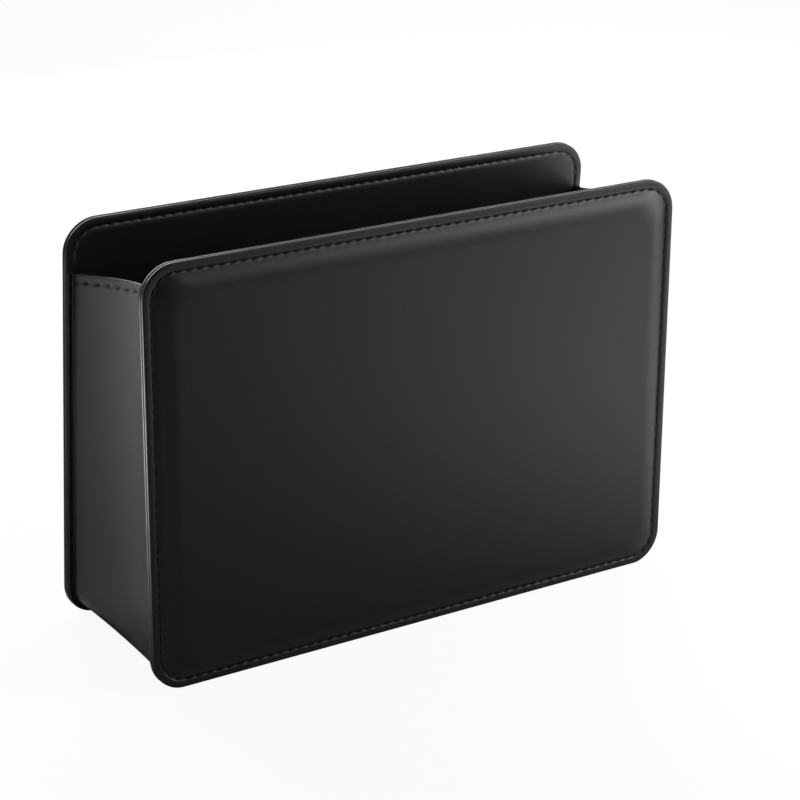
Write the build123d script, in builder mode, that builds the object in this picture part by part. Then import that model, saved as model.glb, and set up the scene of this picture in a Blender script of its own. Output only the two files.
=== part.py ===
# A car trash bin: two padded leather panels sewn to the long edges of one U-shaped gusset.
# X runs across the bin, Y from front to back, and Z up from the floor under the middle of the bin.
from build123d import *

import os
from math import cos, radians, sin

# Panels
panel_width = 245.0
panel_height = 170.0
panel_corner = 13.8
base_depth = 79.0  # across the rims of the two panels at the floor
panel_lean = 2.4  # degrees that each panel tips in towards the mouth
sole = 0.4  # pressed flat along the lower edge of each panel

# Leather edges and seams
leather = 0.9  # one ply; the panels' turned edges are two plies thick
edge_round = 0.8
groove_bevel = 0.6  # where the cover's and the lining's edges meet
seam_inset = 3.6  # stitch line, in from the panel's edge
seam_width = 1.0
seam_depth = 0.3

# Padding and stiffeners
pad_gap = 0.8  # from the stitch line to the foot of the padding
shoulder = 9.0  # width over which the padding rises to its full height
crown = 2.6  # padded field above the flat rim
panel_board = 2.0
base_board_thickness = 1.5
filling_play = 0.2  # room round boards and pads inside the leather

# Gusset
web_inset = 2.4  # outer face of the sides and base, in from the panels' edge
flange_inset = 0.6  # cut edge of the flanges, in from the panels' edge
front_drop = 7.2  # from the top of the front panel down to the hem
back_drop = 20.8
hem_depth = 8.0

# What follows from those sizes
lean = radians(panel_lean)
turned_edge = 2 * leather
panel_edge = 2 * turned_edge  # the cover's turned edge on the lining's
edge_fillet = min(edge_round, turned_edge / 2)
pad_inset = seam_inset + pad_gap
pocket_inset = pad_inset + leather
filling_inset = pocket_inset + filling_play
base_level = web_inset * cos(lean) - sole  # underside of the base above the floor
hem_thickness = 3 * leather  # the lining between two plies of the gusset


def panel_plane(facing):
    """Plane of a panel's outer rim face, at its middle; facing is -1 at the front and 1 at the back."""
    up = Vector(0, -facing * sin(lean), cos(lean))
    foot = Vector(0, facing * base_depth / 2, -sole)
    normal = (0, facing * cos(lean), sin(lean))
    return Plane(origin=foot + up * (panel_height / 2), x_dir=(-facing, 0, 0), z_dir=normal)


def panel_outline(plane, inset, corner):
    """Rounded outline of a panel, drawn in from its edge."""
    with BuildSketch(plane) as outline:
        RectangleRounded(panel_width - 2 * inset, panel_height - 2 * inset, corner)
    return outline.sketch


def seam_channel(plane):
    """Narrow ring that the stitches lie in."""
    outer_inset = seam_inset - seam_width / 2
    inner_inset = seam_inset + seam_width / 2
    with BuildSketch(plane) as channel:
        add(panel_outline(Plane.XY, outer_inset, panel_corner - outer_inset))
        add(panel_outline(Plane.XY, inner_inset, panel_corner - inner_inset), mode=Mode.SUBTRACT)
    return channel.sketch


def padded_field(plane, inset, height):
    """Padding above a plane: a flat middle with rolled shoulders and ball-shaped corners."""
    outwards = Axis(plane.origin, plane.z_dir)
    roll = (shoulder**2 + height**2) / (2 * height)  # rises to the height over the shoulder's width
    drawn_in = inset + shoulder - roll
    with BuildPart() as field:
        with BuildSketch(plane.offset(height - 2 * roll)):
            Rectangle(panel_width - 2 * drawn_in, panel_height - 2 * drawn_in)
        extrude(amount=2 * roll)
        rolled = field.faces().sort_by(outwards)[-1].edges() + field.edges().filter_by(outwards)
        fillet(rolled, roll)
        split(bisect_by=plane, keep=Keep.TOP)
    return field.part


def gusset_outline(inset, raised=0.0):
    """End view of the gusset, filled in: rounded lower corners and an open top, taller than the hems."""
    corner = max(panel_corner - web_inset - inset, leather)
    with BuildSketch(Plane.XZ) as outline:
        with Locations((0, base_level + inset + raised)):
            Rectangle(
                panel_width - 2 * (web_inset + inset),
                panel_height,
                align=(Align.CENTER, Align.MIN),
            )
        fillet(outline.vertices().group_by(Axis.Y)[0], corner)
    return outline.sketch


planes = {"front": panel_plane(-1), "back": panel_plane(1)}
front_inner = planes["front"].offset(-panel_edge)
back_inner = planes["back"].offset(-panel_edge)

os.makedirs("parts", exist_ok=True)

# Each panel, from the outside in: leather cover, foam pad, stiff board and leather lining
for side, plane in planes.items():
    outwards = Axis(plane.origin, plane.z_dir)
    lining_plane = plane.offset(-turned_edge)
    board_plane = lining_plane.offset(-leather)
    board_top = board_plane.offset(panel_board)
    raised_field = padded_field(plane, pad_inset, crown)
    raised_pocket = padded_field(plane, pocket_inset, crown - leather)
    raised_foam = padded_field(plane, filling_inset, crown - leather - filling_play)

    with BuildPart() as cover:
        extrude(panel_outline(plane, 0, panel_corner), amount=-turned_edge)
        chamfer(cover.faces().sort_by(outwards)[0].edges(), groove_bevel)
        fillet(cover.faces().sort_by(outwards)[-1].edges(), edge_fillet)
        add(raised_field)
        add(raised_pocket, mode=Mode.SUBTRACT)
        extrude(panel_outline(plane, pocket_inset, shoulder), amount=-turned_edge, mode=Mode.SUBTRACT)
        extrude(seam_channel(plane), amount=-seam_depth, mode=Mode.SUBTRACT)
        split(bisect_by=Plane.XY, keep=Keep.TOP)
    cover.part.label = f"{side}_cover"
    export_step(cover.part, f"parts/{side}_cover.step")

    with BuildPart() as pad:
        add(raised_foam)
        extrude(panel_outline(plane, filling_inset, shoulder), amount=-turned_edge)
        split(bisect_by=board_top, keep=Keep.TOP)
    pad.part.label = f"{side}_pad"
    export_step(pad.part, f"parts/{side}_pad.step")

    with BuildPart() as board:
        extrude(panel_outline(board_plane, filling_inset, shoulder), amount=panel_board)
    board.part.label = f"{side}_board"
    export_step(board.part, f"parts/{side}_board.step")

    with BuildPart() as lining:
        extrude(panel_outline(lining_plane, 0, panel_corner), amount=-turned_edge)
        chamfer(lining.faces().sort_by(outwards)[-1].edges(), groove_bevel)
        fillet(lining.faces().sort_by(outwards)[0].edges(), edge_fillet)
        extrude(panel_outline(lining_plane, pocket_inset, shoulder), amount=-leather, mode=Mode.SUBTRACT)
        extrude(seam_channel(plane.offset(-panel_edge)), amount=seam_depth, mode=Mode.SUBTRACT)
        split(bisect_by=Plane.XY, keep=Keep.TOP)
    lining.part.label = f"{side}_lining"
    export_step(lining.part, f"parts/{side}_lining.step")

# The hems slope from the front panel down to the back panel
hem_front = front_inner.from_local_coords((0, panel_height / 2 - front_drop, 0))
hem_back = back_inner.from_local_coords((0, panel_height / 2 - back_drop, 0))
hem_section = Plane(origin=hem_front, x_dir=(1, 0, 0), z_dir=hem_front - hem_back)
hem_top = Plane(origin=hem_front, x_dir=(1, 0, 0), z_dir=hem_section.y_dir)

# Space between the panels that the gusset is wrapped round
with BuildPart() as between:
    extrude(gusset_outline(0), amount=base_depth, both=True)
    for inner in (front_inner, back_inner):
        split(bisect_by=inner, keep=Keep.BOTTOM)

# A hem at the top of each side: the outer ply goes over the lining's edge and down inside
with BuildPart() as hems:
    with BuildSketch(hem_section):
        for x in (-1, 1):
            hem_middle = x * (panel_width / 2 - web_inset - hem_thickness / 2)
            with Locations((hem_middle, -hem_thickness / 2)):
                Circle(hem_thickness / 2)
                Rectangle(hem_thickness, hem_depth - hem_thickness / 2, align=(Align.CENTER, Align.MAX))
            with Locations((hem_middle, -leather)):
                Rectangle(leather, hem_depth, align=(Align.CENTER, Align.MAX), mode=Mode.SUBTRACT)
    extrude(amount=2 * base_depth, both=True)
    add(between.part, mode=Mode.INTERSECT)

# Flanges of the gusset, turned out against the rims of the linings
with BuildPart() as flanges:
    for inner in (front_inner, back_inner):
        extrude(panel_outline(inner, flange_inset, panel_corner - flange_inset), amount=-leather)
    split(bisect_by=hem_top, keep=Keep.BOTTOM)
    split(bisect_by=Plane.XY, keep=Keep.TOP)

# Outer strip of the gusset: sides and base in one piece, with its flanges and hems
with BuildPart() as gusset:
    add(between.part)
    split(bisect_by=hem_top.offset(-hem_depth / 2), keep=Keep.BOTTOM)
    add(flanges.part)
    extrude(gusset_outline(leather), amount=base_depth, both=True, mode=Mode.SUBTRACT)
    add(hems.part)
gusset.part.label = "gusset"
export_step(gusset.part, "parts/gusset.step")

# Board that keeps the base flat and the panels apart at the floor
with BuildPart() as base_board:
    with BuildSketch(Plane.XY.offset(base_level + leather)):
        Rectangle(panel_width - 2 * (panel_corner + filling_play), 2 * base_depth)
    extrude(amount=base_board_thickness)
    for inner in (front_inner, back_inner):
        split(bisect_by=inner.offset(-filling_play), keep=Keep.BOTTOM)
base_board.part.label = "base_board"
export_step(base_board.part, "parts/base_board.step")

# Inner ply of the gusset, over the base board and up under the hems
with BuildPart() as gusset_lining:
    outside = gusset_outline(leather, base_board_thickness)
    inside = gusset_outline(2 * leather, base_board_thickness)
    extrude(outside, amount=base_depth, both=True)
    extrude(inside, amount=base_depth, both=True, mode=Mode.SUBTRACT)
    for inner in (front_inner, back_inner):
        split(bisect_by=inner.offset(-filling_play), keep=Keep.BOTTOM)
    split(bisect_by=hem_top.offset(-leather - filling_play), keep=Keep.BOTTOM)
gusset_lining.part.label = "gusset_lining"
export_step(gusset_lining.part, "parts/gusset_lining.step")
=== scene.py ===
# %% [markdown]
# # A car trash bin of black leather
#
# The bin is two padded leather panels, front and back, sewn to the long edges of one soft strip, the gusset,
# that makes both sides and the base. The CAD frame gives every piece's size and place. Here the leather is made
# again with soft edges, stitches and grain, and the stiff boards inside stay as CAD made them.

import random
from math import cos, pi, radians, sin, sqrt, tan

import bmesh
import bpy
from mathutils import Matrix, Vector


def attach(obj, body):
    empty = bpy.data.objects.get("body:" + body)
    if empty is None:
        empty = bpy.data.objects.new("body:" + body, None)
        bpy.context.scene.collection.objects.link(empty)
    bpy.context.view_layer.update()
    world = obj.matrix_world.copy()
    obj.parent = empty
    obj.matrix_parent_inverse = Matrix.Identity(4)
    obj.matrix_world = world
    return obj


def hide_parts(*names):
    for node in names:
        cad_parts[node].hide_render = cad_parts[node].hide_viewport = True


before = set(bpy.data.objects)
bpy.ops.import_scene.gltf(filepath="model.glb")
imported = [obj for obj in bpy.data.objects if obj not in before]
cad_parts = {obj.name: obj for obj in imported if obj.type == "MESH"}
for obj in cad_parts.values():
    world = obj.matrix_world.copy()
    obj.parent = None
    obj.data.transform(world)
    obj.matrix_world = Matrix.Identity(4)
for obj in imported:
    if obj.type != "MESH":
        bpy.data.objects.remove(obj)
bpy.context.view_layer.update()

# %% [markdown]
# ## The panels' flat frame
#
# The sizes repeat those of the CAD source, in metres. Each panel tips in a little towards the mouth, so it is
# easier to model it flat: x across, y up the panel and z out of its rim. A matrix then takes it to its place.

# %% Sizes of the panels
panel_width = 0.245
panel_height = 0.170
panel_corner = 0.0138
base_depth = 0.079
lean = radians(2.4)
sole = 0.0004
leather = 0.0009
turned_edge = 2 * leather
panel_edge = 2 * turned_edge
seam_inset = 0.0036


def panel_frame(facing):
    """Matrix from a panel's flat frame to the world; facing is -1 at the front and 1 at the back."""
    across = Vector((-facing, 0, 0))
    up = Vector((0, -facing * sin(lean), cos(lean)))
    out = Vector((0, facing * cos(lean), sin(lean)))
    middle = Vector((0, facing * base_depth / 2, -sole)) + up * panel_height / 2
    return Matrix.Translation(middle) @ Matrix((across, up, out)).transposed().to_4x4()


panel_frames = {"front": panel_frame(-1), "back": panel_frame(1)}
print("panel frames:", ", ".join(panel_frames))

# %% [markdown]
# ## The panel's outline
#
# A panel is a rounded rectangle, and everything on it follows that outline: its edge, its rim, its seam and its
# padding. One function gives a point on the outline at any distance in from the edge. The steps round it are
# counted in quarters of a stitch, so that a ring of points always knows where the needle holes are.

# %% A point on the outline
steps_per_stitch = 4
steps_across, steps_up, steps_corner = 192, 124, 14
steps_round = 2 * (steps_across + steps_up + 2 * steps_corner)
field_corner = 0.0096


def outline_point(step, inset):
    """Point on a panel's outline, drawn in by inset; steps run from the lower edge's left end, anticlockwise."""
    half_width, half_height = panel_width / 2 - inset, panel_height / 2 - inset
    corner = max(panel_corner - inset, min(field_corner, 0.8 * half_height))
    left = step % steps_round
    for quarter, steps_straight in enumerate((steps_across, steps_up, steps_across, steps_up)):
        turn = Matrix.Rotation(quarter * pi / 2, 2)
        along, away = (half_width, half_height) if quarter % 2 == 0 else (half_height, half_width)
        if left <= steps_straight:
            place = Vector(((along - corner) * (2 * left / steps_straight - 1), -away))
            return turn @ place
        left -= steps_straight
        if left < steps_corner:
            angle = left / steps_corner * pi / 2
            place = Vector((along - corner + corner * sin(angle), corner - away - corner * cos(angle)))
            return turn @ place
        left -= steps_corner


print("steps round a panel:", steps_round, "for", steps_round // steps_per_stitch, "stitches")

# %% [markdown]
# ## From rings to a panel
#
# A panel's leather is lofted: a circle of vertices is placed on the outline, then its edges are extruded again
# and again, and each new ring is set at its own distance in from the edge and its own height. The list of those
# pairs is simply the profile of the leather, cut across the edge. A third number says how far the needle holes
# pull the leather down there, which puckers the seam the way a sewing machine does. Both ends of the loft are
# closed with a face.

# %% Finish a bmesh
def smooth_object(bm, name):
    """Finish a bmesh as a smooth object at the origin, with sharp open borders."""
    bmesh.ops.remove_doubles(bm, verts=bm.verts, dist=1e-7)
    bmesh.ops.recalc_face_normals(bm, faces=bm.faces)
    for face in bm.faces:
        face.smooth = True
    for edge in bm.edges:
        edge.smooth = not edge.is_boundary
    mesh = bpy.data.meshes.new(name)
    bm.to_mesh(mesh)
    bm.free()
    piece = bpy.data.objects.new(name, mesh)
    bpy.context.collection.objects.link(piece)
    return piece


# %% Loft a profile round the outline
padding_starts = 0.0002  # height over the rim from which the leather lies on padding


def place_ring(ring, step_of, inset, height, pucker):
    """Set a ring of vertices on the outline; the needle holes are at whole stitches."""
    for vert in ring:
        point = outline_point(vert[step_of], inset)
        pull = pucker * (0.5 + 0.5 * cos(2 * pi * vert[step_of] / steps_per_stitch))
        vert.co = (point.x, point.y, height - pull)


def loft_panel(name, profile, frame_matrix, lift=None):
    """Closed piece from a list of (inset, height, pucker), flattened where it would go below the floor.

    lift(x, y) says how far the padding swells at a point of the panel.
    """
    bm = bmesh.new()
    step_of = bm.verts.layers.int.new("step")
    ring = bmesh.ops.create_circle(bm, segments=steps_round, radius=1)["verts"]
    for step, vert in enumerate(ring):
        vert[step_of] = step
    edges = bm.edges[:]
    place_ring(ring, step_of, *profile[0])
    bmesh.ops.edgeloop_fill(bm, edges=edges)
    for station in profile[1:]:
        made = bmesh.ops.extrude_edge_only(bm, edges=edges)["geom"]
        ring = [item for item in made if isinstance(item, bmesh.types.BMVert)]
        new = set(ring)
        edges = [
            item for item in made if isinstance(item, bmesh.types.BMEdge) and new.issuperset(item.verts)
        ]
        place_ring(ring, step_of, *station)
    bmesh.ops.edgeloop_fill(bm, edges=edges)
    for vert in bm.verts:
        if lift and vert.co.z > padding_starts:
            vert.co.z += lift(vert.co.x, vert.co.y)
    bmesh.ops.transform(bm, matrix=frame_matrix, verts=bm.verts)
    for vert in bm.verts:
        vert.co.z = max(vert.co.z, 0)
    return smooth_object(bm, name)


# %% [markdown]
# ## Covers
#
# The cover is the outer leather with its foam behind it, so it is made as one closed, padded form. Its profile
# starts in the hollow behind, where the board sits, and comes round the turned edge to the flat rim. At the seam
# the stitches pull the leather into a valley, and straight from there the padding rises over a rounded shoulder
# to the nearly flat field.

# %% Profile of a cover
edge_round = 0.0008
groove_round = 0.0007
shoulder = 0.0090
shoulder_rings = 12
crown = 0.0026
hollow_inset = 0.0058
hollow_height = -0.00065
hollow_slant = 0.00005
rim_rise = 0.00004
valley_depth = 0.0003
valley_half = 0.0008
cover_pucker, rim_pucker, foot_pucker = 0.0002, 0.00003, 0.00008


def seam_valley(height, depth, pucker):
    """Stations across the stitched valley, from the rim inwards.

    Each is a distance from the seam, a share of the valley's depth and a share of the pucker.
    """
    across = ((-0.0009, 0.0, 0.2), (-0.0005, 0.3, 0.6), (-0.0002, 0.9, 1.0), (0.0, 1.0, 1.0))
    across += ((0.0002, 0.9, 1.0), (0.0005, 0.3, 0.6), (valley_half, 0.0, 0.3))
    return [(seam_inset + away, height - depth * part, pucker * pull) for away, part, pull in across]


def quarter_round(radius, inset, height, start, segments=5):
    """Stations round a quarter of a circle about (inset, height), from an angle in quarters."""
    angles = [(start + k / segments) * pi / 2 for k in range(segments + 1)]
    return [(inset - radius * cos(angle), height + radius * sin(angle), 0.0) for angle in angles]


cover_profile = [(hollow_inset, hollow_height, 0.0), (hollow_inset - hollow_slant, -turned_edge, 0.0)]
cover_profile += quarter_round(groove_round, groove_round, groove_round - turned_edge, -1)
cover_profile += quarter_round(edge_round, edge_round, -edge_round, 0)
cover_profile += [(0.0014, rim_rise, 0.0), (0.0020, rim_rise, rim_pucker)]
cover_profile += seam_valley(0.0, valley_depth, cover_pucker)
field_foot = seam_inset + valley_half
roll = (shoulder**2 + crown**2) / (2 * crown)
for k in range(1, shoulder_rings + 1):
    run = shoulder * (k / shoulder_rings) ** 1.2
    rise = crown - roll + sqrt(roll**2 - (shoulder - run) ** 2)
    cover_profile.append((field_foot + run, rise, foot_pucker if k == 1 else 0.0))
field_insets = (0.016, 0.020, 0.027, 0.036, 0.046, 0.057, 0.068, 0.077, 0.083)
cover_profile += [(inset, crown, 0.0) for inset in field_insets]
print("cover profile:", len(cover_profile), "rings")

# %% [markdown]
# ## How the padding swells
#
# Foam pushes its leather out most in the middle, where the seam can't hold it down. A formula could say by how
# much, but a cloth simulation finds its form the way the real panel does: a flat sheet of the field's size is
# pinned along the seam, and pressure pushes it out for twenty frames without gravity. A low pressure leaves the
# sheet uneven, so it is pushed out further than the leather goes. The panel is nearly flat, and only a small share
# of the rise is kept, a third of a millimetre in the middle. The simulated sheet is thrown away once its heights
# are known.

# %% Swell of the field, by a cloth with pressure
cells_across, cells_up = 60, 40
half_across, half_up = panel_width / 2 - field_foot, panel_height / 2 - field_foot
swell_frames = 20
swell_share = 0.12
swell_pressure = 4
swell = {}


def cell_of(x, y):
    """Place on the flat sheet, counted in cells from its lower left corner."""
    return (x / half_across + 1) / 2 * cells_across, (y / half_up + 1) / 2 * cells_up


def swell_sheet():
    """Flat sheet with its border pinned and a cloth's pressure behind it."""
    bm = bmesh.new()
    bmesh.ops.create_grid(bm, x_segments=cells_across, y_segments=cells_up, size=1)
    bmesh.ops.scale(bm, vec=(half_across, half_up, 1), verts=bm.verts)
    border = [vert.index for vert in bm.verts if vert.is_boundary]
    mesh = bpy.data.meshes.new("swelling")
    bm.to_mesh(mesh)
    bm.free()
    sheet = bpy.data.objects.new("swelling", mesh)
    bpy.context.collection.objects.link(sheet)
    sheet.vertex_groups.new(name="seam").add(border, 1.0, "REPLACE")
    cloth = sheet.modifiers.new("padding", "CLOTH")
    cloth.point_cache.frame_end = swell_frames
    cloth.settings.quality, cloth.settings.mass = 6, 0.01
    cloth.settings.use_pressure, cloth.settings.uniform_pressure_force = True, swell_pressure
    cloth.settings.effector_weights.gravity = 0
    cloth.settings.vertex_group_mass = "seam"
    return sheet


sheet = swell_sheet()
for number in range(1, swell_frames + 1):
    bpy.context.scene.frame_set(number)
swollen = sheet.evaluated_get(bpy.context.evaluated_depsgraph_get()).data
for before, after in zip(sheet.data.vertices, swollen.vertices):
    across, up = cell_of(before.co.x, before.co.y)
    swell[round(across), round(up)] = swell_share * after.co.z
bpy.context.scene.frame_set(1)
bpy.data.objects.remove(sheet)


def field_swell(x, y):
    """How far the leather swells at a point of the panel, between the four nearest points of the sheet."""
    across, up = cell_of(x, y)
    column, row = min(max(int(across), 0), cells_across - 1), min(max(int(up), 0), cells_up - 1)
    part, rise = across - column, up - row
    lower = swell.get((column, row), 0) * (1 - part) + swell.get((column + 1, row), 0) * part
    upper = swell.get((column, row + 1), 0) * (1 - part) + swell.get((column + 1, row + 1), 0) * part
    return lower * (1 - rise) + upper * rise


print("the middle swells by", round(field_swell(0, 0) * 1000, 2), "mm")

# %% Covers, front and back
covers = {}
for side, matrix in panel_frames.items():
    cover = loft_panel(f"{side}_panel_cover", cover_profile, matrix, field_swell)
    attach(cover, "root")
    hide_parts(f"{side}_cover", f"{side}_pad")
    covers[side] = cover
    print(cover.name, len(cover.data.polygons), "faces")

# %% [markdown]
# ## Linings
#
# The lining is a thin sheet behind the board, with its edge turned back on itself to the same thickness as the
# cover's edge. The two turned edges lie on each other, and their rounded corners leave the dark groove that runs
# round the panel's edge. The same seam shows on the inside.

# %% Profile of a lining
board_play, edge_play = 0.00004, 0.00002
lining_pucker = 0.00018

lining_profile = [(hollow_inset, -turned_edge - leather - board_play, 0.0)]
lining_profile += [(hollow_inset - hollow_slant, -turned_edge - edge_play, 0.0)]
back_round = quarter_round(groove_round, groove_round, -turned_edge - groove_round, 0)
lining_profile += [(inset, height, 0.0) for inset, height, _ in reversed(back_round)]
back_round = quarter_round(edge_round, edge_round, edge_round - panel_edge, -1)
lining_profile += [(inset, height, 0.0) for inset, height, _ in reversed(back_round)]
lining_profile += [(inset, -panel_edge - rim_rise, 0.0) for inset in (0.0014, 0.0020)]
inner_valley = seam_valley(0.0, valley_depth, lining_pucker)
lining_profile += [(inset, -panel_edge - height, -pull) for inset, height, pull in inner_valley]
lining_profile += [(inset, -panel_edge, 0.0) for inset in (0.0060, 0.010, 0.060)]
print("lining profile:", len(lining_profile), "rings")

# %% Linings, front and back
linings = {}
for side, matrix in panel_frames.items():
    lining = loft_panel(f"{side}_panel_lining", lining_profile, matrix)
    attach(lining, "root")
    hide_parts(f"{side}_lining")
    linings[side] = lining
    print(lining.name, len(lining.data.polygons), "faces")

# %% [markdown]
# ## The gusset's path
#
# The gusset is one strip of leather: down the left side, across the base and up the right side. Its edges turn
# out against the panels' rims as narrow flanges, and its ends are turned over into hems. A grid is the right
# start, because a strip is a grid: rows follow the strip's length and columns go across it. Only half of it is
# made and then mirrored.
#
# Each vertex needs a place. `depth_in` is the distance in from the strip's outer face, so flanges and linings can
# use the same path. Soft sides sag inwards between the panels: the bow starts in the bend at the foot, is full up
# the side, and is half as deep at the hem, which is stiffer. The flanges are cut narrower where the panels' upper
# corners are rounded, or their ends would stick out there.

# %% Places on the gusset
web_inset = 0.0024
flange_inset = 0.0006
crease_round = 0.0002
front_drop, back_drop = 0.0072, 0.0208
hem_depth = 0.008
hem_thickness = 3 * leather
base_board = 0.0015
web_x = panel_width / 2 - web_inset
base_level = web_inset * cos(lean) - sole
bend = panel_corner - web_inset
flange_least = 0.05

hem_front = panel_frames["front"] @ Vector((0, panel_height / 2 - front_drop, -panel_edge))
hem_back = panel_frames["back"] @ Vector((0, panel_height / 2 - back_drop, -panel_edge))


def hem_level(y):
    """Height of the hem's top edge, which slopes down to the back."""
    part = (y - hem_front.y) / (hem_back.y - hem_front.y)
    return hem_front.z + (hem_back.z - hem_front.z) * part


def half_gap(z):
    """Half the distance between the linings' inner faces at a height."""
    return base_depth / 2 - (z + sole) * tan(lean) - panel_edge / cos(lean)


def trimmed(depth_in, z):
    """Depth on the strip at a height, where a flange (a negative depth) keeps inside the panel's upper corner."""
    above = (z + sole + panel_edge * sin(lean)) / cos(lean) - (panel_height - panel_corner)
    if depth_in >= 0 or above <= 0:
        return depth_in
    cut_edge = panel_corner - sqrt((panel_corner - flange_inset) ** 2 - above**2)
    return depth_in * max(flange_least, (web_inset - cut_edge) / (web_inset - flange_inset))


print("hem from", round(hem_front.z * 1000, 1), "mm at the front to", round(hem_back.z * 1000, 1), "mm at the back")

# %% A place on the strip
web_bow = 0.0050
bend_bow, hem_bow = 0.6, 0.5  # shares of the full bow at the top of the bend and at the hem
full_bow_from = 0.3  # part of the way up the side at which the bow is full


def bow_share(row):
    """How much of the full bow a row has: none on the base, most up the side, half at the hem."""
    if row[0] == "base":
        return 0.0
    if row[0] == "bend":
        return bend_bow * row[1] ** 2
    if row[0] == "hem":
        return hem_bow
    grown = min(1.0, row[1] / full_bow_from)
    return bend_bow + (1 - bend_bow) * grown * grown * (3 - 2 * grown) - (1 - hem_bow) * row[1] ** 3


def gusset_place(row, column, raised=0.0):
    """Place on the left half: row is ("base", part), ("bend", part), ("wall", part) or ("hem", inwards, below).

    column is (depth_in, from_front, from_back, part, edge): one of the two distances from a panel counts, or
    else the part of the way from front to back, between 0 and 1, that starts an edge's width from each panel.
    """
    kind, depth_in = row[0], column[0]
    wall_foot = base_level + bend + raised
    y, bow = 0.0, 0.0
    if column[3] is not None:
        bow = web_bow * (1 - (2 * column[3] - 1) ** 2) * bow_share(row)
    for _ in range(4):
        if kind == "base":
            x, z = -row[1] * (web_x - bend), base_level + raised + depth_in
        elif kind == "bend":
            angle = row[1] * pi / 2
            x = -(web_x - bend) - (bend - depth_in - bow) * sin(angle)
            z = wall_foot - (bend - depth_in - bow) * cos(angle)
        elif kind == "wall":
            z = wall_foot + row[1] * (hem_level(y) - hem_depth - wall_foot)
            x = trimmed(depth_in, z) + bow - web_x
        else:
            turned_in = row[1] * min(1 - depth_in / hem_thickness, max(0, 1 + depth_in / crease_round))
            z = hem_level(y) - row[2]
            x = trimmed(depth_in, z) + turned_in + bow - web_x
        gap = half_gap(z)
        front, back = column[1], column[2]
        if front is not None:
            y = front - gap
        elif back is not None:
            y = gap - back
        else:
            y = (2 * column[3] - 1) * (gap - column[4])
    return Vector((x, y, z))


middle_of_side = gusset_place(("wall", 0.5), (0.0, None, None, 0.5, 0.0))
print("the side bows in by", round((middle_of_side.x + web_x) * 1000, 1), "mm halfway up")

# %% [markdown]
# ## The gusset
#
# The rows near the hem are close together, because the seam puckers the leather there. The hem itself is a few
# rows that go over the top, which is thin outside and slopes down to the full thickness, and down the inside. A
# Solidify modifier then gives the sheet its thickness, inwards.

# %% Rows of the gusset
hem_seam = 0.0035
base_rows, bend_rows, wall_rows = 20, 10, 30

rows = [("base", k / base_rows) for k in range(base_rows)] + [("bend", k / bend_rows) for k in range(bend_rows)]
rows += [("wall", k / wall_rows) for k in range(wall_rows + 1)]
outer_below = (0.0066, 0.0054, 0.0047, 0.0042, 0.0038, 0.0035, 0.0032, 0.0028, 0.0022, 0.0015)
hem_rows = [("hem", 0.0, below) for below in outer_below]
highest = (0.00018, 0.0)
over_top = ((0.0, 0.0003), (0.00002, 0.00012), (0.00008, 0.00004), highest, (0.0003, 0.00006))
over_top += ((0.0006, 0.0003), (0.0013, 0.0010), (0.0020, 0.0017), (hem_thickness, 0.0024))
hem_rows += [("hem", inwards, below) for inwards, below in over_top]
top_row = len(rows) + len(outer_below) + over_top.index(highest)
inner_below = (0.0030, 0.0035, 0.0040, 0.0055, 0.0066, hem_depth)
hem_rows += [("hem", hem_thickness, below) for below in inner_below]
rows += hem_rows
print("gusset rows:", len(rows), "of which", len(hem_rows), "in the hem")

# %% Columns of the gusset
hem_stitches, steps_per_hem_stitch = 7, 8
flange_step = 0.0004
crease_steps = 5

flange = [(flange_inset - web_inset + part * flange_step, leather) for part in range(3)]
turns = [k / crease_steps * pi / 2 for k in range(crease_steps + 1)]
crease = [(crease_round * (sin(turn) - 1), leather + crease_round * (1 - cos(turn))) for turn in turns]
web_edge = leather + crease_round
columns = [(depth, away, None, None) for depth, away in flange + crease]
crease_columns = len(columns) - 1
web_segments = steps_per_hem_stitch * hem_stitches
columns += [(0.0, None, None, k / web_segments, web_edge) for k in range(1, web_segments)]
columns += [(depth, None, away, None) for depth, away in reversed(flange + crease)]
print("gusset grid:", len(rows), "rows by", len(columns), "columns")


# %% From a grid to a strip
pucker_reach, seam_pull, hole_pull = 0.0011, 0.0001, 0.0004


def mapped_grid(rows, columns, place):
    """Grid whose vertices are set by place(row number, column number)."""
    bm = bmesh.new()
    down, across = len(rows) - 1, len(columns) - 1
    bmesh.ops.create_grid(bm, x_segments=down, y_segments=across, size=1)
    row_of, column_of = bm.verts.layers.int.new("row"), bm.verts.layers.int.new("column")
    for vert in bm.verts:
        vert[row_of] = round((vert.co.x + 1) / 2 * down)
        vert[column_of] = round((vert.co.y + 1) / 2 * across)
        vert.co = place(vert[row_of], vert[column_of])
    return bm, row_of, column_of


def hem_pucker(row, column):
    """How far the hem's stitches pull the leather in, deepest at the needle holes."""
    if row[0] != "hem" or column[3] is None:
        return 0.0
    near = max(0.0, 1 - abs(row[2] - hem_seam) / pucker_reach)
    hole = (0.5 + 0.5 * cos(2 * pi * hem_stitches * column[3])) ** 2
    pull = seam_pull * near + hole_pull * near * hole
    return pull if row[1] < hem_thickness / 2 else -pull


def gusset_vertex(row, column):
    """Place of a vertex of the gusset, with the hem's pucker."""
    place = gusset_place(rows[row], columns[column])
    place.x += hem_pucker(rows[row], columns[column])
    return place


def finish_strip(bm, name):
    """Mirror the left half, face the strip outwards and give it the leather's thickness."""
    bmesh.ops.mirror(bm, geom=bm.verts[:] + bm.edges[:] + bm.faces[:], axis="X", merge_dist=1e-6)
    strip = smooth_object(bm, name)
    lowest = min(strip.data.polygons, key=lambda face: face.center.z + abs(face.center.x) + abs(face.center.y))
    if lowest.normal.z > 0:
        strip.data.flip_normals()
    thickness = strip.modifiers.new("leather", "SOLIDIFY")
    thickness.thickness, thickness.offset, thickness.use_even_offset = leather, -1, True
    return strip


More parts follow.
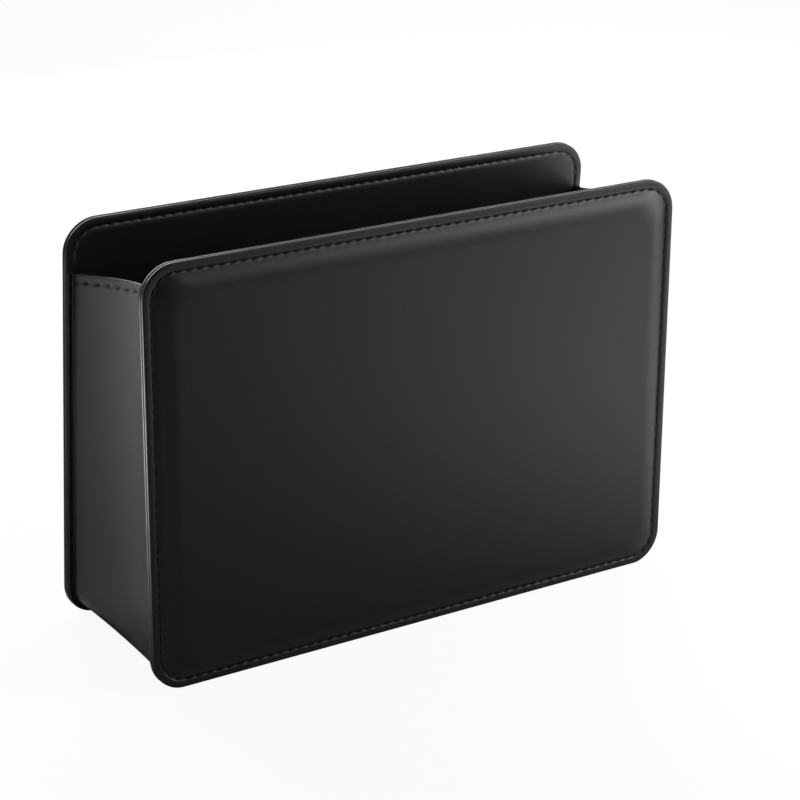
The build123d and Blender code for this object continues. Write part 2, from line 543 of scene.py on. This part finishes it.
# %% Gusset
bm, row_of, column_of = mapped_grid(rows, columns, gusset_vertex)
last = len(columns) - 1 - crease_columns
spare = [
    face
    for face in bm.faces
    if min(vert[row_of] for vert in face.verts) >= top_row
    and (
        max(vert[column_of] for vert in face.verts) <= crease_columns
        or min(vert[column_of] for vert in face.verts) >= last
    )
]
bmesh.ops.delete(bm, geom=spare, context="FACES")
gusset = finish_strip(bm, "side_gusset")
gusset_length = 2 * (web_x - bend) + pi * bend + hem_front.z + hem_back.z - 2 * (base_level + bend)
gusset_flat = (gusset_length + 2 * hem_depth, 2 * half_gap(base_level) + 2 * (web_inset - flange_inset))
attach(gusset, "root")
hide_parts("gusset")
print("gusset cut", [round(length * 1000) for length in gusset_flat], "mm")

# %% [markdown]
# ## The gusset's lining
#
# The inner ply follows the same path one leather's thickness further in, over the board in the base, and its ends
# are tucked under the hems.

# %% Gusset lining
play = 0.0002
shorter = 0.006  # the inner path is about this much shorter than the outer one
ply_base, ply_bend, ply_wall, ply_web = 12, 8, 20, 24  # rows and columns, fewer than the gusset's

lining_rows = [("base", k / ply_base) for k in range(ply_base)]
lining_rows += [("bend", k / ply_bend) for k in range(ply_bend)]
lining_rows += [("wall", k / ply_wall) for k in range(ply_wall + 1)]
lining_rows += [("hem", 0.0, below) for below in (0.006, 0.004, 0.0025, leather + play)]
lining_columns = [(leather, None, None, k / ply_web, play) for k in range(ply_web + 1)]


def lining_vertex(row, column):
    """Place of a vertex of the lining, which lies on the board in the base."""
    return gusset_place(lining_rows[row], lining_columns[column], base_board)


bm, _, _ = mapped_grid(lining_rows, lining_columns, lining_vertex)
gusset_lining = finish_strip(bm, "side_gusset_lining")
lining_flat = (gusset_length - shorter, 2 * half_gap(base_level) - 2 * play)
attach(gusset_lining, "root")
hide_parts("gusset_lining")
print("gusset lining cut", [round(length * 1000) for length in lining_flat], "mm")

# %% [markdown]
# ## Stitches
#
# A stitch is a short length of thread that comes up through one hole and goes down through the next. One stitch
# is a small sphere, drawn out long and bent down at both ends, and copies of it are set along the seams: round
# the rim of each cover, along the mouth on each lining, and along both hems. The stitches on the linings are given
# a lighter grey than the same black thread outside, a painted highlight for the light they catch inside the bin.
# A seeded random turn keeps the stitches from looking printed.

# %% One stitch, and copies of it
thread_radius = 0.00032
stitch_droop = 1.3  # how far a stitch's ends are bent down, in thread radii
least_turn, most_turn = 2, 7
chance = random.Random(11)


def stitch_mesh(length, material=0):
    """One bent stitch along x, with z out of the leather."""
    bm = bmesh.new()
    bmesh.ops.create_uvsphere(bm, u_segments=8, v_segments=6, radius=1, matrix=Matrix.Rotation(pi / 2, 4, "Y"))
    bmesh.ops.scale(bm, vec=(length / 2, thread_radius, thread_radius), verts=bm.verts)
    for vert in bm.verts:
        vert.co.z -= stitch_droop * thread_radius * (2 * vert.co.x / length) ** 4
    for face in bm.faces:
        face.material_index = material
    mesh = bpy.data.meshes.new("stitch")
    bm.to_mesh(mesh)
    bm.free()
    return mesh


def sew(bm, stitch, start, end, out):
    """Add a copy of a stitch between two needle holes, with out away from the leather."""
    along = (end - start).normalized()
    side = out.cross(along).normalized()
    turn = Matrix((along, side, along.cross(side))).transposed().to_4x4()
    turn = turn @ Matrix.Rotation(radians(chance.uniform(least_turn, most_turn)), 4, "Z")
    old = len(bm.verts)
    bm.from_mesh(stitch)
    bm.verts.ensure_lookup_table()
    bmesh.ops.transform(bm, matrix=Matrix.Translation((start + end) / 2) @ turn, verts=bm.verts[old:])


def thread_object(bm, name):
    """One object of all the stitches of a seam."""
    thread = smooth_object(bm, name)
    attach(thread, "root")
    print(name, len(thread.data.polygons), "faces")
    return thread


# %% Stitches round the panels
rim_stitch_length = 0.0038
rim_sink = 0.00012
clear_of_hem = 0.0002
# The linings' stitches use the second material, a lighter grey that paints in the light falling on them.
rim_stitch, lit_stitch = stitch_mesh(rim_stitch_length), stitch_mesh(rim_stitch_length, material=1)
threads = []
for side, matrix in panel_frames.items():
    bm = bmesh.new()
    for step in range(0, steps_round, steps_per_stitch):
        ends = [outline_point(step + k * steps_per_stitch, seam_inset) for k in (0, 1)]
        outer_ends = [matrix @ Vector((end.x, end.y, -rim_sink)) for end in ends]
        sew(bm, rim_stitch, *outer_ends, matrix.to_3x3() @ Vector((0, 0, 1)))
        inner_ends = [matrix @ Vector((end.x, end.y, rim_sink - panel_edge)) for end in ends]
        if min(end.z - hem_level(end.y) for end in inner_ends) > clear_of_hem:
            sew(bm, lit_stitch, *inner_ends, matrix.to_3x3() @ Vector((0, 0, -1)))
    threads.append(thread_object(bm, f"{side}_seam_thread"))

# %% Stitches along the hems
hem_stitch_length = 0.0044
hem_sink = 0.00015
hem_thread_stitch = stitch_mesh(hem_stitch_length)
bm = bmesh.new()
for number in range(1, hem_stitches):
    for inwards, out in ((0.0, -1), (hem_thickness, 1)):
        ends = []
        for k in (0, 1):
            column = (0.0, None, None, (number - 0.5 + k) / hem_stitches, web_edge)
            place = gusset_place(("hem", inwards, hem_seam), column)
            place.x -= out * hem_sink
            ends.append(place)
        sew(bm, hem_thread_stitch, *ends, Vector((out, 0, 0)))
bmesh.ops.mirror(bm, geom=bm.verts[:] + bm.edges[:] + bm.faces[:], axis="X", merge_dist=-1)
threads.append(thread_object(bm, "hem_thread"))

# %% [markdown]
# ## Materials
#
# A material is a small network of nodes. The class below wraps one output of a node, so that a network can be
# written as sums: `a + b` makes a Math node and joins it up. One method makes any other node.


# %% A short way to write node networks
class Wire:
    """One output in a material's node tree."""

    def __init__(self, tree, socket=None):
        self.tree, self.socket = tree, socket

    def node(self, kind, inputs=None, output=0, **settings):
        """New node with its settings, then the values or links of its sockets."""
        made = self.tree.nodes.new(kind)
        for name, value in settings.items():
            setattr(made, name, value)
        for key, value in (inputs or {}).items():
            if isinstance(value, Wire):
                self.tree.links.new(value.socket, made.inputs[key])
            else:
                made.inputs[key].default_value = value
        return Wire(self.tree, made.outputs[output])

    def math(self, operation, first, second):
        return self.node("ShaderNodeMath", {0: first, 1: second}, operation=operation)

    def __add__(self, other):
        return self.math("ADD", self, other)

    def __radd__(self, other):
        return self.math("ADD", other, self)

    def __sub__(self, other):
        return self.math("SUBTRACT", self, other)

    def __rsub__(self, other):
        return self.math("SUBTRACT", other, self)

    def __mul__(self, other):
        return self.math("MULTIPLY", self, other)

    def __rmul__(self, other):
        return self.math("MULTIPLY", other, self)


def new_material(name):
    """Empty material: its start for wires, and its output node."""
    material = bpy.data.materials.new(name)
    material.use_nodes = True
    material.node_tree.nodes.clear()
    output = material.node_tree.nodes.new("ShaderNodeOutputMaterial")
    return material, Wire(material.node_tree), output


print("Wire takes + and - and * on node outputs")

# %% [markdown]
# ## Leather
#
# The bin's leather is a coated cloth with a fine, even grain. The grain is a Voronoi pattern with cells of about
# half a millimetre, softened by noise, and goes into the bump only. Colour and gloss change very little from
# place to place. The gusset is the same black with a little more gloss, and the lining is duller.

# %% Leather
grain_scale, wander_scale, patch_scale = 1700.0, 900.0, 60.0
grain_depth = 0.00006


def leather_material(name, black, roughness, gloss):
    """Grained leather, black being its grey level."""
    material, start, output = new_material(name)
    place = start.node("ShaderNodeTexCoord", output="Object")
    wander = start.node("ShaderNodeTexNoise", {"Vector": place, "Scale": wander_scale, "Detail": 2.0})
    cells = start.node(
        "ShaderNodeTexVoronoi", {"Vector": place, "Scale": grain_scale, "Smoothness": 0.6}, feature="SMOOTH_F1"
    )
    patches = start.node("ShaderNodeTexNoise", {"Vector": place, "Scale": patch_scale, "Detail": 3.0})
    grain = cells * 0.7 + wander * 0.5
    bump = start.node("ShaderNodeBump", {"Height": grain, "Strength": 0.5, "Distance": grain_depth})
    shade = patches * 0.5 + 0.75
    paint = start.node(
        "ShaderNodeMix",
        {"Factor": shade, "A": (0, 0, 0, 1), "B": (black, black, black, 1)},
        output=2,
        data_type="RGBA",
    )
    shader = start.node(
        "ShaderNodeBsdfPrincipled",
        {
            "Base Color": paint,
            "Roughness": patches * 0.08 + (roughness - 0.04),
            "Specular IOR Level": gloss,
            "Normal": bump,
        },
    )
    start.tree.links.new(shader.socket, output.inputs["Surface"])
    return material


cover_leather = leather_material("cover_leather", 0.004, 0.40, 0.50)
gusset_leather = leather_material("gusset_leather", 0.004, 0.36, 0.65)
lining_leather = leather_material("lining_leather", 0.003, 0.45, 0.60)
print("leathers:", cover_leather.name, gusset_leather.name, lining_leather.name)

# %% [markdown]
# ## Thread and board
#
# Thread and fibre board are matt, so one plain material does for both: a colour that noise darkens in places.

# %% Thread and board
thread_scale, board_scale = 1500.0, 300.0


def plain_material(name, colour, roughness, mottle, scale):
    """Matt material, mottled to darker by a share of its colour."""
    material, start, output = new_material(name)
    place = start.node("ShaderNodeTexCoord", output="Object")
    noise = start.node("ShaderNodeTexNoise", {"Vector": place, "Scale": scale, "Detail": 4.0})
    dark = tuple(part * (1 - mottle) for part in colour)
    paint = start.node(
        "ShaderNodeMix", {"Factor": noise, "A": (*dark, 1), "B": (*colour, 1)}, output=2, data_type="RGBA"
    )
    shader = start.node("ShaderNodeBsdfPrincipled", {"Base Color": paint, "Roughness": roughness})
    start.tree.links.new(shader.socket, output.inputs["Surface"])
    return material


thread_paint = plain_material("thread", (0.006, 0.006, 0.006), 0.7, 0.4, thread_scale)
# Lighter grey for the linings' stitches: a painted highlight on what is the same black thread.
lit_thread_paint = plain_material("lit_thread", (0.12, 0.12, 0.12), 0.6, 0.4, thread_scale)
board_paint = plain_material("fibre_board", (0.42, 0.38, 0.32), 0.8, 0.3, board_scale)
print("plain materials:", thread_paint.name, lit_thread_paint.name, board_paint.name)

# %% Paint the pieces
for piece in covers.values():
    piece.data.materials.append(cover_leather)
for piece in [*linings.values(), gusset_lining]:
    piece.data.materials.append(lining_leather)
gusset.data.materials.append(gusset_leather)
for piece in threads:
    piece.data.materials.append(thread_paint)
    # The second slot is the painted-highlight grey for the stitches inside.
    piece.data.materials.append(lit_thread_paint)
for node in ("front_board", "back_board", "base_board"):
    for slot in bpy.data.objects[node].material_slots:
        slot.material = board_paint
    print(node, "painted")

# %% [markdown]
# ## Floor and world
#
# The floor and the world are white for the camera and darker for all other light, so that the background is white
# while the bin's reflections stay dark, as in the photograph. Only camera rays see the white, because the bin has
# no metal or glass that would have to mirror it. The floor keeps a little diffuse colour for the bin's shadow.

# %% Floor
floor_bounce, floor_seen, floor_glow = 0.6, 0.1, 0.93
floor_mesh = bpy.data.meshes.new("floor")
bm = bmesh.new()
bmesh.ops.create_grid(bm, x_segments=1, y_segments=1, size=6)
bm.to_mesh(floor_mesh)
bm.free()
floor = bpy.data.objects.new("floor", floor_mesh)
bpy.context.collection.objects.link(floor)

floor_paint, start, output = new_material("floor")
seen = start.node("ShaderNodeLightPath", output="Is Camera Ray")
tone = start.node(
    "ShaderNodeMix",
    {
        "Factor": seen,
        "A": (floor_bounce, floor_bounce, floor_bounce, 1),
        "B": (floor_seen, floor_seen, floor_seen, 1),
    },
    output=2,
    data_type="RGBA",
)
matt = start.node("ShaderNodeBsdfDiffuse", {"Color": tone})
glow = start.node("ShaderNodeEmission", {"Color": (1, 1, 1, 1), "Strength": seen * floor_glow})
both = start.node("ShaderNodeAddShader", {0: matt, 1: glow})
start.tree.links.new(both.socket, output.inputs["Surface"])
floor_mesh.materials.append(floor_paint)
print("floor glows at", floor_glow, "for the camera")

# %% World
world_light = 0.12
world = bpy.data.worlds.new("studio")
bpy.context.scene.world = world
world.use_nodes = True
world.node_tree.nodes.clear()
sky = Wire(world.node_tree)
seen = sky.node("ShaderNodeLightPath", output="Is Camera Ray")
strength = seen * (1 - world_light) + world_light
backdrop = sky.node("ShaderNodeBackground", {"Color": (1, 1, 1, 1), "Strength": strength})
sky.tree.links.new(backdrop.socket, world.node_tree.nodes.new("ShaderNodeOutputWorld").inputs["Surface"])
print("world lights the bin at", world_light)

# %% [markdown]
# ## Light
#
# Black leather shows little but what it mirrors, so each lamp has one job. The back one shades the gusset from
# dark to light, and the high one draws the rims. The right one and the one over the floor light the right half of
# the front panel, which mirrors that part of the floor. The front one lights the padded shoulders. The small left
# one stands low behind the front panel's face, so that the camera sees it only on the panels' left edges.


# %% Softboxes
def softbox(name, place, aim, width, height, power, spread=pi):
    """Area lamp at a place, turned to a point; a narrow spread keeps its light together."""
    lamp = bpy.data.lights.new(name, "AREA")
    lamp.shape, lamp.size, lamp.size_y, lamp.energy = "RECTANGLE", width, height, power
    lamp.spread = spread
    stand = bpy.data.objects.new(name, lamp)
    stand.location = place
    stand.rotation_euler = (Vector(aim) - Vector(place)).to_track_quat("-Z", "Y").to_euler()
    bpy.context.collection.objects.link(stand)
    print(name, "at", place)


softbox("back_softbox", (0, 0.75, 0.32), (0, 0, 0.1), 0.6, 0.3, 6)
softbox("high_softbox", (0.75, 0.8, 0.60), (0, 0, 0.1), 0.5, 0.4, 3)
softbox("right_softbox", (0.60, -0.33, 0.24), (0.05, 0, 0.08), 0.3, 0.45, 1.5)
softbox("floor_softbox", (0.36, -0.27, 0.40), (0.33, -0.24, 0), 0.2, 0.2, 0.75, spread=radians(70))
softbox("front_softbox", (0.92, -0.78, 0.70), (0, 0, 0.1), 0.5, 0.5, 4.2)
softbox("left_softbox", (-0.36, 0.01, 0.05), (-0.12, -0.04, 0.10), 0.06, 0.1, 0.06, spread=radians(30))

# %% [markdown]
# ## Camera
#
# The camera's place, angles and lens were found by fitting the panels' outlines to the photograph. It looks along
# `ahead`, and is tilted a little about that direction.

# %% Camera
camera_place = (-0.49994, -0.76510, 0.45262)
yaw, pitch, tilt = radians(-33.8011), radians(21.9842), radians(1.7665)
ahead = Vector((-sin(yaw) * cos(pitch), cos(yaw) * cos(pitch), -sin(pitch)))
level = Vector((cos(yaw), sin(yaw), 0))
above = level.cross(ahead)
right = level * cos(tilt) + above * sin(tilt)
upright = above * cos(tilt) - level * sin(tilt)
camera_data = bpy.data.cameras.new("camera")
camera_data.sensor_width, camera_data.lens = 36, 108.984
camera_data.clip_start, camera_data.clip_end = 0.05, 20
camera = bpy.data.objects.new("camera", camera_data)
turn = Matrix((right, upright, -ahead)).transposed().to_4x4()
camera.matrix_world = Matrix.Translation(camera_place) @ turn
bpy.context.collection.objects.link(camera)
bpy.context.scene.camera = camera
bpy.context.scene.view_settings.view_transform = "Standard"
print("camera lens", camera_data.lens, "mm")
